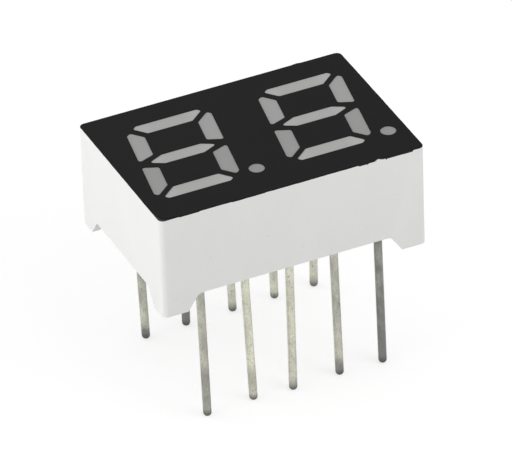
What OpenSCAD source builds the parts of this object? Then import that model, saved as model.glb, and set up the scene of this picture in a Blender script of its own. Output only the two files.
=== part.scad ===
// Two-digit seven segment display: a moulded reflector housing with a printed face, cast full of
// epoxy around a circuit board that carries one chip for each segment and stands on ten wire pins.
// Lengths are in millimetres. X runs along the digits, Y towards their tops and Z out of the face.
// The tips of the pins are at Z = 0, and the origin is under the middle of the housing.

/* [Housing] */
// Length of the housing, along the row of digits
body_l = 15; // [14.8:0.1:18]
// Width of the housing, across the digits
body_w = 10.15; // [10.1:0.05:13]
// Height of the housing, from the soles of its feet to the face
body_h = 6; // [5:0.1:9]
// Radius of the upright corners
corner_r = 0.3; // [0.15:0.05:0.45]
// Thickness of the side walls
wall_t = 0.5; // [0.4:0.05:0.55]
// Radius of the upright corners of the back cavity
cavity_r = 0.2; // [0.1:0.05:0.4]
// Height of the notches between the feet
foot_h = 0.95; // [0.5:0.05:1.2]
// Length of a sole along the long sides
foot_l = 1.4; // [1:0.1:2]
// Length of a sole along the short sides
foot_w = 1.2; // [1:0.1:1.8]
// How far the flank of a foot leans between its sole and the notch
foot_lean = 0.65; // [0.2:0.05:0.8]
// Radius of the inner corners of the notches
notch_round = 0.35; // [0.05:0.05:0.5]
// Diameter of the posts in the corners of the cavity, which the circuit board seats on
post_d = 0.6; // [0.4:0.1:0.8]

/* [Printed face] */
// Thickness of the dark print on the face
print_t = 0.03; // [0.02:0.01:0.1]

/* [Digits] */
// Height of a digit
digit_h = 6.87; // [6:0.01:7.1]
// Distance from a digit, before its slant, to either end of its half of the housing
digit_side = 1.33; // [1.3:0.01:1.45]
// Lean of the digits to the right, in degrees
slant = 10; // [0:1:11]
// Distance of the digits above the middle of the face
digit_rise = 0.13; // [0:0.01:0.25]
// Distance of the digits to the right of the middle of their halves of the housing
digit_shift = -0.05; // [-0.1:0.01:0.05]
// Width of the outer segments
stroke = 0.92; // [0.8:0.02:1]
// Width of the middle segment
mid_stroke = 0.86; // [0.8:0.02:1]
// Gap between neighbouring segments
seg_gap = 0.32; // [0.2:0.02:0.4]
// Gap between the upper and the lower segment on a side of a digit
side_gap = 0.44; // [0.36:0.02:0.6]
// Angle between the middle segment and the gaps at its ends, in degrees
mid_angle = 27; // [24:1:45]
// Distance from the side of a digit to the point where the gaps at the middle segment meet
mid_edge = 0.12; // [0.08:0.01:0.3]
// Length that is cut from each outer corner of a digit
corner_cut = 0.68; // [0.5:0.02:0.8]
// Radius at the corners of the segments
seg_round = 0.14; // [0.04:0.02:0.16]
// Diameter of the decimal points
dot_d = 0.86; // [0.7:0.02:0.9]
// Distance from the middle of a decimal point to the right end of its half of the housing
dot_side = 1.02; // [0.95:0.01:1.05]
// Height of the middle of a decimal point above the foot of its digit
dot_base = 0.43; // [0.35:0.01:0.5]

/* [Light wells] */
// Length of a well at its floor
floor_l = 1.5; // [1.4:0.1:1.8]
// Width of a well at its floor
floor_w = 0.76; // [0.7:0.02:0.78]
// Length over which the well keeps its full outline below the face, measured along the segment
well_land = 0.16; // [0.1:0.02:0.3]
// Height of the slot for the bond wire under a decimal point
slot_h = 0.7; // [0.6:0.1:1.2]

/* [Circuit board] */
// Thickness of the circuit board
board_t = 0.8; // [0.5:0.1:1]
// Gap between the edge of the board and the walls
board_clear = 0.1; // [0.05:0.01:0.12]
// Height of the seating posts, which the epoxy fills between board and wells
board_gap = 0.1; // [0.08:0.01:0.3]
// Depth of epoxy that covers the back of the board
pot_t = 0.55; // [0.5:0.05:0.8]
// How far the back of the epoxy lies inside the notches
pot_set = 0.1; // [0.05:0.05:0.3]
// Thickness of the copper
foil_t = 0.05; // [0.03:0.01:0.06]
// Width of the copper tracks on the back
track_w = 0.2; // [0.12:0.02:0.24]
// Bare margin between pieces of copper, and along the edge of the board
foil_gap = 0.15; // [0.1:0.01:0.16]
// Size of the square copper land under a wire's foot
land_w = 0.3; // [0.24:0.02:0.32]
// Diameter of the plated holes that join front and back
via_d = 0.16; // [0.1:0.02:0.2]

/* [Chips and bond wires] */
// Side of a chip
chip_w = 0.28; // [0.2:0.02:0.3]
// Height of a chip
chip_h = 0.2; // [0.12:0.02:0.24]
// Distance of a chip from the middle of its well
chip_set = 0.25; // [0.2:0.01:0.3]
// Diameter of a bond wire
wire_d = 0.04; // [0.03:0.01:0.05]
// Diameter of the ball at the start of a wire
ball_d = 0.1; // [0.08:0.01:0.14]
// Height of the ball, and of the pressed foot at the other end
ball_h = 0.03; // [0.02:0.01:0.04]
// Straight rise of a wire above its chip
wire_neck = 0.08; // [0.05:0.01:0.12]
// Radius of the bend over the chip
wire_bend = 0.12; // [0.08:0.01:0.14]
// Angle through which a wire turns over the chip, in degrees
wire_turn = 130; // [120:1:140]

/* [Pins] */
// Number of pins in a row
pins_per_row = 5; // [3:1:5]
// Distance between neighbouring pins
pin_pitch = 2.54; // [2:0.01:2.54]
// Distance from a row of pins to the long side of the housing
pin_edge = 1.125; // [1.1:0.025:1.3]
// Distance of the pins to the right of the middle of the housing
pin_shift = 0.15; // [0:0.05:0.2]
// Diameter of a pin over its solder coat
pin_d = 0.45; // [0.4:0.01:0.5]
// Thickness of the solder coat
coat_t = 0.01; // [0.01:0.01:0.03]
// Distance below the soles at which the coat begins to thin out towards the collar
coat_gap = 0.2; // [0.1:0.1:1]
// Length of a pin below the soles of the feet
pin_reach = 7.4; // [2.5:0.1:9]
// Height of the rounding at a tip
tip_h = 0.2; // [0.05:0.01:0.22]
// Diameter of the small flat at a tip
tip_d = 0.14; // [0.06:0.02:0.3]
// Diameter of the swaged collar that the solder rests on
collar_d = 0.64; // [0.56:0.02:0.7]
// Height of the collar
collar_t = 0.15; // [0.1:0.01:0.2]
// Diameter of the holes in the board
hole_d = 0.6; // [0.52:0.02:0.62]
// Diameter of the copper ring around a hole
ring_d = 0.9; // [0.84:0.02:0.94]
// Height of the solder between collar and board
solder_h = 0.2; // [0.1:0.01:0.25]

/* [Hidden] */
$fn = 48;
LETTERS = ["a", "b", "c", "d", "e", "f", "g", "dot"];
DOT = 7;
DIGITS = [0, 1];
LIGHTS = [for (digit = DIGITS) for (s = [0:DOT]) [digit, s]];
PINS = [for (row = [0, 1]) for (i = [0:pins_per_row - 1]) [row, i]];
function light_name(stem, light) = str(stem, light[0] + 1, LETTERS[light[1]]);
function pin_name(stem, pin) = str(stem, pin[0] * pins_per_row + pin[1] + 1);

// Length by which a cutting shape passes through a face
over = 1;
// Largest share of an edge that the rounding at one of its ends takes up
edge_share = 0.45;

// Heights, from the tips of the pins upwards
seat_z = pin_reach;
notch_z = seat_z + foot_h;
pot_z = notch_z + pot_set;
board_z = pot_z + pot_t;
board_top = board_z + board_t;
floor_z = board_top + board_gap;
face_z = seat_z + body_h;
top_z = face_z - print_t;
foil_top = board_top + foil_t;
foil_low = board_z - foil_t;
collar_top = foil_low - solder_h;
chip_top = foil_top + chip_h;
// Radius of a pin's wire without its coat, and distance between the two rows of pins
core_r = pin_d / 2 - coat_t;
row_span = body_w - 2 * pin_edge;

// Plan sizes of the cavity and the board
cavity_l = body_l - 2 * wall_t;
cavity_w = body_w - 2 * wall_t;
board_l = cavity_l - 2 * board_clear;
board_w = cavity_w - 2 * board_clear;

// Each digit has half of the housing. Half sizes, and the shift of a 45 degree gap along X or Y
digit_pitch = body_l / 2;
half_w = digit_pitch / 2 - digit_side;
half_h = digit_h / 2;
inner_x = half_w - stroke;
inner_y = half_h - stroke;
mitre = seg_gap / sqrt(2);
tip_low = (corner_cut - mitre) / 2;
tip_high = (corner_cut + mitre) / 2;
line_x = half_w - stroke / 2;
upright_mid = (side_gap / 2 + half_h - tip_high) / 2;

// Beside the middle segment, the lines along both edges of a gap cross the middle line of the digit
// at the sharp tip of the segment and at the far point
gap_slope = tan(mid_angle);
mid_tip = half_w - mid_edge - seg_gap / 2 / sin(mid_angle);
mid_far = mid_tip + seg_gap / sin(mid_angle);
mid_shoulder = mid_tip - mid_stroke / 2 / gap_slope;

// The wire leaves the chip upwards, bends over it and slopes down to its land
bend_z = chip_top + ball_h + wire_neck;
bend_run = wire_bend * (1 - cos(wire_turn));
bend_rise = wire_bend * sin(wire_turn);
slope_len = (bend_z + bend_rise - foil_top) / -cos(wire_turn);
land_x = bend_run - chip_set + slope_len * sin(wire_turn);
// Length by which the sloping part of a wire runs into its bend and into its land
wire_lap = wire_d / 2;

function flip(points, sx, sy) = [for (p = points) [sx * p.x, sy * p.y]];
function lean(p) = [p.x + p.y * tan(slant), p.y];
function toward(p, q, d) = p + d * (q - p) / norm(q - p);
function between(p, c, q, s) = (1 - s) * (1 - s) * p + 2 * s * (1 - s) * c + s * s * q;
function turn_at(p, c, q) = acos((c - p) * (q - c) / norm(c - p) / norm(q - c));

// An outline with each corner turned into a short curve of about radius r
function soften(points, r, steps = 3) = let(n = len(points)) [
    for (i = [0:n - 1])
        let(
            p = points[(i + n - 1) % n],
            c = points[i],
            q = points[(i + 1) % n],
            least = min(norm(p - c), norm(q - c)),
            d = min(r * tan(turn_at(p, c, q) / 2), edge_share * least)
        )
        for (k = [0:steps]) between(toward(c, p, d), c, toward(c, q, d), k / steps)
];

// Upright outlines of the top bar, the upper right segment and the middle bar
TOP_BAR = [
    [half_w - corner_cut, half_h],
    [half_w - tip_high, half_h - tip_low],
    [inner_x - mitre, inner_y],
    [mitre - inner_x, inner_y],
    [tip_high - half_w, half_h - tip_low],
    [corner_cut - half_w, half_h]
];
UPRIGHT = [
    [inner_x, (mid_far - inner_x) * gap_slope],
    [mid_far - side_gap / 2 / gap_slope, side_gap / 2],
    [half_w, side_gap / 2],
    [half_w, half_h - corner_cut],
    [half_w - tip_low, half_h - tip_high],
    [inner_x, inner_y - mitre]
];
MIDDLE_BAR = [
    [mid_tip, 0],
    [mid_shoulder, mid_stroke / 2],
    [-mid_shoulder, mid_stroke / 2],
    [-mid_tip, 0],
    [-mid_shoulder, -mid_stroke / 2],
    [mid_shoulder, -mid_stroke / 2]
];
OUTLINES = [
    TOP_BAR,
    UPRIGHT,
    flip(UPRIGHT, 1, -1),
    flip(TOP_BAR, 1, -1),
    flip(UPRIGHT, -1, -1),
    flip(UPRIGHT, -1, 1),
    MIDDLE_BAR
];
MIDDLES = [
    [0, half_h - stroke / 2],
    [line_x, upright_mid],
    [line_x, -upright_mid],
    [0, stroke / 2 - half_h],
    [-line_x, -upright_mid],
    [-line_x, upright_mid],
    [0, 0]
];
// Turn of each chip and wire about Z. It keeps the lands clear of the pins, and no two tracks on
// the back share a line.
top_turn = 180;
bar_turn = 0;
up_turn = 90 - slant;
down_turn = up_turn + 180;
dot_turn = 90;
TURNS = [top_turn, down_turn, up_turn, bar_turn, down_turn, up_turn, bar_turn, dot_turn];
// Full length of each segment along its own direction
bar_len = 2 * (half_w - tip_high);
upright_len = (half_h - tip_high - side_gap / 2) / cos(slant);
LENGTHS = [bar_len, upright_len, upright_len, bar_len, upright_len, upright_len, 2 * mid_tip];

function digit_place(digit) = [(digit - 0.5) * digit_pitch + digit_shift, digit_rise];
function light_place(light) = digit_place(light[0])
    + (light[1] == DOT
        ? [digit_pitch / 2 - digit_shift - dot_side, dot_base - half_h]
        : lean(MIDDLES[light[1]]));
function pin_place(pin) = [
    (pin[1] - (pins_per_row - 1) / 2) * pin_pitch + pin_shift,
    (pin[0] - 0.5) * row_span
];

// Puts its children at a light's place, with X along the segment
module at_light(light) {
    translate(light_place(light)) rotate([0, 0, TURNS[light[1]]]) children();
}

module at_pin(pin) {
    translate(pin_place(pin)) children();
}

// Rectangle with round corners
module rounded(l, w, r) {
    square([l - 2 * r, w], center = true);
    square([l, w - 2 * r], center = true);
    for (x = [r - l / 2, l / 2 - r], y = [r - w / 2, w / 2 - r]) translate([x, y]) circle(r);
}

// Outline of one segment or decimal point on the face
module light_outline(light) {
    if (light[1] == DOT) {
        translate(light_place(light)) circle(d = dot_d);
    } else {
        translate(digit_place(light[0]))
            polygon(soften([for (p = OUTLINES[light[1]]) lean(p)], seg_round));
    }
}

// Upright slab that narrows along X from the face to the floor of a well, and runs on across it.
// It reaches down by low below the floor and up by high above the face.
module taper(face_len, floor_len, low, high) {
    draft = (face_len - floor_len) / (top_z - floor_z) / 2;
    bottom = floor_len / 2 - draft * low;
    top = face_len / 2 + draft * high;
    rotate([90, 0, 0]) linear_extrude(height = digit_h, center = true) polygon([
        [-bottom, floor_z - low],
        [bottom, floor_z - low],
        [top, top_z + high],
        [-top, top_z + high]
    ]);
}

// Space of one well. Low and high carry it on below its floor and above the face.
module light_well(light, low = 0, high = 0) {
    if (light[1] == DOT) {
        translate([0, 0, floor_z - low]) linear_extrude(height = top_z - floor_z + low + high)
            light_outline(light);
        at_light(light) translate([-floor_l / 2, -floor_w / 2, floor_z - low])
            cube([floor_l, floor_w, slot_h + low]);
    } else {
        intersection() {
            translate([0, 0, floor_z - low]) linear_extrude(height = top_z - floor_z + low + high)
                light_outline(light);
            at_light(light) taper(LENGTHS[light[1]] + 2 * well_land, floor_l, low, high);
            at_light(light) rotate([0, 0, 90]) taper(stroke + well_land, floor_w, low, high);
        }
    }
}

// Prism that cuts the notch between two feet, through the whole housing along Y
module notch(side, sole) {
    half = side / 2 - sole;
    spread = foot_lean * over / foot_h;
    rotate([90, 0, 0]) linear_extrude(height = 2 * body_l, center = true) polygon(soften([
        [-half - spread, seat_z - over],
        [half + spread, seat_z - over],
        [half - foot_lean, notch_z],
        [foot_lean - half, notch_z]
    ], notch_round));
}

// Posts that the board seats on, one round each upright corner of the cavity
module posts() {
    for (x = [-1, 1], y = [-1, 1])
        translate([x * cavity_l / 2, y * cavity_w / 2, board_top])
            cylinder(d = post_d, h = board_gap);
}

module housing() {
    color([0.93, 0.93, 0.91]) {
        difference() {
            translate([0, 0, seat_z]) linear_extrude(height = top_z - seat_z)
                rounded(body_l, body_w, corner_r);
            translate([0, 0, seat_z - over]) linear_extrude(height = floor_z - seat_z + over)
                rounded(cavity_l, cavity_w, cavity_r);
            notch(body_l, foot_l);
            rotate([0, 0, 90]) notch(body_w, foot_w);
            for (light = LIGHTS) light_well(light, over, over);
        }
        posts();
    }
}

module face_print() {
    color([0.14, 0.14, 0.14]) translate([0, 0, top_z]) linear_extrude(height = print_t)
        difference() {
            rounded(body_l, body_w, corner_r);
            for (light = LIGHTS) light_outline(light);
        }
}

// The epoxy fills the wells and the cavity, around everything that is cast into it
module epoxy_fill() {
    color([0.65, 0.65, 0.65]) difference() {
        union() {
            translate([0, 0, pot_z]) linear_extrude(height = floor_z - pot_z)
                rounded(cavity_l, cavity_w, cavity_r);
            for (light = LIGHTS) light_well(light, board_gap / 2);
        }
        posts();
        translate([-board_l / 2, -board_w / 2, board_z]) cube([board_l, board_w, board_t]);
        front_copper();
        back_copper();
        for (light = LIGHTS) {
            chip(light);
            bond_wire(light);
        }
        for (pin = PINS) {
            wire_pin(pin);
            solder(pin);
        }
    }
}

// Outline of the holes that pass through the board and its copper
module pin_holes() {
    for (pin = PINS) at_pin(pin) circle(d = hole_d);
}

// Outline of the round copper around the holes
module pin_pads() {
    for (pin = PINS) at_pin(pin) circle(d = ring_d);
}

module circuit_board() {
    color([0.30, 0.45, 0.28]) translate([0, 0, board_z]) linear_extrude(height = board_t)
        difference() {
            square([board_l, board_w], center = true);
            pin_holes();
            for (light = LIGHTS) at_light(light) translate([land_x, 0]) circle(d = via_d);
        }
}

// A plane of copper under each digit joins its chips, and each wire has a land in a bare window
module front_copper() {
    plane_l = board_l / 2 - 2 * foil_gap;
    plane_w = row_span - ring_d - 2 * foil_gap;
    window_w = land_w + 2 * foil_gap;
    color([0.80, 0.52, 0.32]) translate([0, 0, board_top]) linear_extrude(height = foil_t)
        difference() {
            union() {
                difference() {
                    for (side = [-1, 1]) translate([side * (plane_l / 2 + foil_gap), 0])
                        square([plane_l, plane_w], center = true);
                    for (light = LIGHTS) at_light(light) translate([land_x, 0])
                        square(window_w, center = true);
                }
                for (light = LIGHTS) at_light(light) translate([land_x, 0])
                    square(land_w, center = true);
                pin_pads();
            }
            pin_holes();
        }
}

// A track on the back joins the same segment of both digits, through a plated hole at each land
module back_copper() {
    color([0.80, 0.52, 0.32]) {
        translate([0, 0, foil_low]) linear_extrude(height = foil_t) difference() {
            union() {
                for (s = [0:DOT]) at_light([0, s]) translate([land_x, 0]) rotate([0, 0, -TURNS[s]])
                    translate([0, -track_w / 2]) square([digit_pitch, track_w]);
                for (light = LIGHTS) at_light(light) translate([land_x, 0]) circle(d = land_w);
                pin_pads();
            }
            pin_holes();
        }
        for (light = LIGHTS) at_light(light) translate([land_x, 0, board_z])
            cylinder(d = via_d, h = board_t);
    }
}

module chip(light) {
    color([0.55, 0.42, 0.36]) at_light(light)
        translate([-chip_set - chip_w / 2, -chip_w / 2, foil_top])
            cube([chip_w, chip_w, chip_h]);
}

// Wire from the top of a chip to its land, with a six-sided section
module bond_wire(light) {
    color([0.86, 0.68, 0.30]) at_light(light) difference() {
        union() {
            translate([-chip_set, 0, chip_top]) cylinder(d = ball_d, h = ball_h);
            translate([-chip_set, 0, chip_top]) cylinder(d = wire_d, h = bend_z - chip_top, $fn = 6);
            translate([-chip_set, 0, bend_z]) {
                translate([wire_bend, 0, 0]) rotate([90, 0, 180]) rotate_extrude(angle = wire_turn)
                    translate([wire_bend, 0]) circle(d = wire_d, $fn = 6);
                translate([bend_run, 0, bend_rise]) rotate([0, wire_turn, 0])
                    translate([0, 0, -wire_lap]) cylinder(d = wire_d, h = slope_len + 2 * wire_lap, $fn = 6);
            }
            translate([land_x, 0, foil_top]) cylinder(d = ball_d, h = ball_h);
        }
        translate([land_x - land_w, -land_w, foil_top - land_w]) cube([2 * land_w, 2 * land_w, land_w]);
    }
}

// One wire pin, turned about its own axis: a rounded tip, a solder coat that thins out upwards
// and a swaged collar
module wire_pin(pin) {
    tip_steps = 6;
    tip = [for (i = [0:tip_steps]) let(a = 90 * i / tip_steps)
        [tip_d / 2 + (pin_d - tip_d) / 2 * sin(a), tip_h * (1 - cos(a))]];
    color([0.69, 0.69, 0.63]) at_pin(pin) rotate_extrude() polygon(concat(
        [[0, 0]],
        tip,
        [
            [pin_d / 2, seat_z - coat_gap],
            [core_r, collar_top - collar_t],
            [collar_d / 2, collar_top - collar_t],
            [collar_d / 2, collar_top],
            [core_r, collar_top],
            [core_r, foil_top],
            [0, foil_top]
        ]
    ));
}

// Solder that fills the hole round a pin and spreads under the board to the edge of its ring
module solder(pin) {
    foot_d = (hole_d + ring_d) / 2;
    color([0.62, 0.62, 0.60]) at_pin(pin) rotate_extrude() polygon([
        [core_r, collar_top],
        [collar_d / 2, collar_top],
        [foot_d / 2, foil_low],
        [hole_d / 2, foil_low],
        [hole_d / 2, foil_top],
        [core_r, foil_top]
    ]);
}

housing();
face_print();
epoxy_fill();
circuit_board();
front_copper();
back_copper();
for (light = LIGHTS) {
    chip(light);
    bond_wire(light);
}
for (pin = PINS) {
    wire_pin(pin);
    solder(pin);
}
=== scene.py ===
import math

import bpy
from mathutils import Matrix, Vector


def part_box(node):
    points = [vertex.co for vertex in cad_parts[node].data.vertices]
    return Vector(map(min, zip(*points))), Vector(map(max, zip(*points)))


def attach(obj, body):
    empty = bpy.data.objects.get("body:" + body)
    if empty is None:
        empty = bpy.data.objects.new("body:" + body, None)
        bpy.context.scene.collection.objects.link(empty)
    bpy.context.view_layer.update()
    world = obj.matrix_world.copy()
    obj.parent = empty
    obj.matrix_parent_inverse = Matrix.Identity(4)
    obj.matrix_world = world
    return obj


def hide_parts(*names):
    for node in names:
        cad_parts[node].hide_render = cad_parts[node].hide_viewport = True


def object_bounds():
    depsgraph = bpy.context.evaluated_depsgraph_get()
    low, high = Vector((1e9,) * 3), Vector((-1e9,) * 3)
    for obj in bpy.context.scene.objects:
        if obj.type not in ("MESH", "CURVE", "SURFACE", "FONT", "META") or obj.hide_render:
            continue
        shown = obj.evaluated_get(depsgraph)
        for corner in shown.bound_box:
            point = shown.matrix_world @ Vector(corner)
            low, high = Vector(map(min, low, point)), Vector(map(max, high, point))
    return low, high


bl_info = {
    "name": "Seven segment display",
    "version": (1, 1, 0),
    "blender": (4, 5, 0),
    "location": "View3D > Sidebar > Display",
    "description": "Dresses the CAD frame of a two-digit seven segment display",
    "category": "Object",
}

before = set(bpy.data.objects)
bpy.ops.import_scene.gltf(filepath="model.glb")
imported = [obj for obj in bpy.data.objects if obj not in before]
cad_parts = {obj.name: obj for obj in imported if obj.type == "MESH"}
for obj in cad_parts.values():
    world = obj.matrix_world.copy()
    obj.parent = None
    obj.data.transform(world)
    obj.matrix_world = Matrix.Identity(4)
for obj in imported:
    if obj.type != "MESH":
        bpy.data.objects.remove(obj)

MM = 0.001
PER_MM = 1000.0
# In metres: points of a mesh that are one point, and places that are the same
ONE_POINT = 1e-7
SAME_PLACE = 1e-6
CAD_LOW, CAD_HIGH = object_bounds()
HOUSING_LOW, HOUSING_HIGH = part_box("housing")
PRINT_LOW, PRINT_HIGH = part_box("face_print")
RESIN_LOW, RESIN_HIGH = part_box("epoxy_fill")
DIGIT_PITCH = (HOUSING_HIGH.x - HOUSING_LOW.x) / 2
PINS = [f"pin_{i}" for i in range(1, 11)]
BODY = "root"

# Places where the outline of the print leaves its straight line, in millimetres: a point of the
# outline, the move along X and Y, and how far from the point the move fades out
PRINT_MARKS = (
    (-7.5, -4.4, 0.045, 0.0, 1.6),
    (-7.2, -5.0, 0.03, 0.08, 0.8),
    (-6.6, -5.075, 0.0, 0.03, 0.5),
    (-4.6, -5.075, 0.0, 0.02, 0.7),
    (4.86, -5.075, 0.0, 0.06, 0.3),
    (7.2, -5.075, 0.0, 0.03, 0.5),
    (7.5, -4.4, -0.03, 0.0, 1.2),
    (7.5, 4.6, -0.04, 0.0, 1.2),
    (4.4, 5.01, 0.0, 0.03, 1.8),
    (5.0, 5.01, 0.0, 0.05, 0.35),
)
# Stretches of the front wall where the print runs over the edge: from X, to X, and how far down
PRINT_RUNS = (
    (-6.35, -5.3, 0.033),
    (-3.4, -1.6, 0.03),
    (-1.6, 3.78, 0.015),
    (3.78, 4.25, 0.07),
    (4.25, 5.3, 0.045),
    (5.3, 6.8, 0.08),
)
# Chip in the print at the front edge: middle along X and Z, half length and half height
PRINT_CHIP = (4.86, 13.34, 0.24, 0.045)
# Faint scuff on the front wall: middle along X and Z, half length and half height
FRONT_SCUFF = (0.47, 9.38, 0.2, 0.03)

# Lamps: name, place and side length in metres, and the stage value that holds the power
LAMPS = (
    ("left_softbox", (-0.23, 0.20, 0.17), 0.22, "key"),
    ("left_card", (-0.19, -0.02, 0.025), 0.10, "card"),
    ("right_softbox", (0.045, -0.055, 0.055), 0.05, "fill"),
)
# Floor: side length in metres, and the sum of its colour and its glow, which is seen as white
FLOOR_SIZE = 4
FLOOR_WHITE = 1.13
# Camera: width of the sensor in millimetres, and the nearest and farthest it sees in metres
SENSOR_WIDTH = 36
CAMERA_RANGE = (0.01, 10)


class HousingSizes(bpy.types.PropertyGroup):
    """Sizes of the moulded housing that the CAD model leaves to the finish"""

    notch_height: bpy.props.FloatProperty(
        name="Notch height", description="Height of the notches above the soles of the feet",
        default=0.95 * MM, unit="LENGTH", precision=5)
    edge: bpy.props.FloatProperty(
        name="Edge radius", description="Rounding of the soles and of the rims of the notches",
        default=0.03 * MM, unit="LENGTH", precision=5)


class PrintSizes(bpy.types.PropertyGroup):
    """Sizes of the dark print and of the windows in it"""

    corners: bpy.props.FloatVectorProperty(
        name="Corner radii", description="Front left, front right, back right and back left corner",
        size=4, unit="LENGTH", precision=5, default=(0.55 * MM, 0.3 * MM, 0.34 * MM, 0.3 * MM))
    back_margin: bpy.props.FloatProperty(
        name="Back margin", description="Width of the bare rim behind the print",
        default=0.065 * MM, unit="LENGTH", precision=5)
    digit_height: bpy.props.FloatProperty(
        name="Digit height", description="Height of a digit",
        default=6.87 * MM, unit="LENGTH", precision=5)
    digit_width: bpy.props.FloatProperty(
        name="Digit width", description="Width of a digit before its slant",
        default=4.84 * MM, unit="LENGTH", precision=5)
    rise: bpy.props.FloatProperty(
        name="Digit rise", description="Distance of the digits above the middle of the face",
        default=0.13 * MM, unit="LENGTH", precision=5)
    shift: bpy.props.FloatProperty(
        name="Digit shift", description="Distance of the digits to the right of their halves' middles",
        default=-0.05 * MM, unit="LENGTH", precision=5)
    slant: bpy.props.FloatProperty(
        name="Slant", description="Lean of the digits to the right",
        default=math.radians(10), unit="ROTATION")
    stroke: bpy.props.FloatProperty(
        name="Stroke", description="Width of the outer segments",
        default=0.92 * MM, unit="LENGTH", precision=5)
    middle_stroke: bpy.props.FloatProperty(
        name="Middle stroke", description="Width of the middle segment",
        default=0.86 * MM, unit="LENGTH", precision=5)
    gap: bpy.props.FloatProperty(
        name="Gap", description="Gap between neighbouring segments",
        default=0.32 * MM, unit="LENGTH", precision=5)
    side_gap: bpy.props.FloatProperty(
        name="Side gap", description="Gap between the upper and the lower segment on a side",
        default=0.44 * MM, unit="LENGTH", precision=5)
    middle_angle: bpy.props.FloatProperty(
        name="Middle angle", description="Angle between the middle segment and the gaps at its ends",
        default=math.radians(27), unit="ROTATION")
    middle_edge: bpy.props.FloatProperty(
        name="Middle edge", description="From the side of a digit to where its middle gaps meet",
        default=0.12 * MM, unit="LENGTH", precision=5)
    corner_cut: bpy.props.FloatProperty(
        name="Corner cut", description="Length cut from each outer corner of a digit",
        default=0.68 * MM, unit="LENGTH", precision=5)
    round: bpy.props.FloatProperty(
        name="Window radius", description="Radius of the corners of a window",
        default=0.14 * MM, unit="LENGTH", precision=5)
    dot: bpy.props.FloatProperty(
        name="Point diameter", description="Diameter of a decimal point",
        default=0.86 * MM, unit="LENGTH", precision=5)
    dot_side: bpy.props.FloatProperty(
        name="Point to end", description="From a decimal point to the right end of its half",
        default=1.02 * MM, unit="LENGTH", precision=5)
    dot_base: bpy.props.FloatProperty(
        name="Point height", description="Height of a decimal point above the foot of its digit",
        default=0.43 * MM, unit="LENGTH", precision=5)
    cover: bpy.props.FloatProperty(
        name="Cover", description="Width by which the print covers the rim of each window",
        default=0.01 * MM, unit="LENGTH", precision=6)
    edge: bpy.props.FloatProperty(
        name="Edge radius", description="Rounding of the upper edges of the print",
        default=0.008 * MM, unit="LENGTH", precision=6)
    ragged: bpy.props.FloatProperty(
        name="Raggedness", description="How far the outline of the print wanders",
        default=0.012 * MM, unit="LENGTH", precision=6)


class ResinSizes(bpy.types.PropertyGroup):
    """Sizes of the resin's surface at the back"""

    creep: bpy.props.FloatProperty(
        name="Creep", description="How far the resin creeps down the walls",
        default=0.07 * MM, unit="LENGTH", precision=5)
    creep_width: bpy.props.FloatProperty(
        name="Creep width", description="Width of the hollow fillet along the walls",
        default=0.3 * MM, unit="LENGTH", precision=5)
    corner: bpy.props.FloatProperty(
        name="Corner radius", description="Radius of the corners of the fillet",
        default=0.2 * MM, unit="LENGTH", precision=5)
    pin_creep: bpy.props.FloatProperty(
        name="Creep at a pin", description="How far the resin creeps down a pin",
        default=0.2 * MM, unit="LENGTH", precision=5)
    pin_creep_reach: bpy.props.FloatProperty(
        name="Reach round a pin", description="From the middle of a pin to where its creep begins",
        default=0.5 * MM, unit="LENGTH", precision=5)


class PinSizes(bpy.types.PropertyGroup):
    """Sizes of the wire pins, and how far the tip of each one leans"""

    sides: bpy.props.IntProperty(
        name="Sides", description="Number of faces round a wire", default=32, min=12, max=64)
    tip_height: bpy.props.FloatProperty(
        name="Tip height", description="Height of the rounding at a tip",
        default=0.2 * MM, unit="LENGTH", precision=5)
    tip_flat: bpy.props.FloatProperty(
        name="Tip flat", description="Diameter of the small flat at a tip",
        default=0.14 * MM, unit="LENGTH", precision=5)
    collar_low: bpy.props.FloatProperty(
        name="Collar", description="Height of the collar's lower face above the tips",
        default=8.6 * MM, unit="LENGTH", precision=5)
    collar_height: bpy.props.FloatProperty(
        name="Collar height", description="Height of the collar",
        default=0.15 * MM, unit="LENGTH", precision=5)
    coat_edge: bpy.props.FloatProperty(
        name="Full coat", description="Height above the tips up to which the coat is full",
        default=7.2 * MM, unit="LENGTH", precision=5)
    wire: bpy.props.FloatProperty(
        name="Wire diameter", description="Diameter of a pin over its coat",
        default=0.45 * MM, unit="LENGTH", precision=5)
    core: bpy.props.FloatProperty(
        name="Core diameter", description="Diameter of a pin without its coat",
        default=0.43 * MM, unit="LENGTH", precision=5)
    lean_right: bpy.props.FloatVectorProperty(
        name="Lean to the right", description="Offset of each tip along the rows, in millimetres",
        size=10, default=(0.02, 0.22, -0.1, 0.1, 0.03, 0.1, -0.06, 0.13, 0.07, -0.14))
    lean_back: bpy.props.FloatVectorProperty(
        name="Lean backwards", description="Offset of each tip across the rows, in millimetres",
        size=10, default=(-0.29, -0.09, -0.23, -0.12, -0.17, -0.33, -0.22, -0.17, -0.1, -0.05))
    # Darkening of each pin's coat, from 0 to 1: painted light and shade, set pin by pin for how lit
    # that pin is
    tone_shift: bpy.props.FloatVectorProperty(
        name="Tarnish", description="How dull the coat of each pin has become, from 0 to 1",
        size=10, default=(0.5, 0.11, 0.19, 0.5, 0.92, 0.5, 0.84, 0.2, 0.15, 0.24))
    # Each pin's coat is darker from its tip up to this height
    dark_foot: bpy.props.FloatVectorProperty(
        name="Worn foot", description="Height up to which each pin is worn, in millimetres",
        size=10, default=(3.6, 2.6, 0.8, 1.4, 2.0, 0.8, 1.6, 0.8, 0.8, 0.8))


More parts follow.
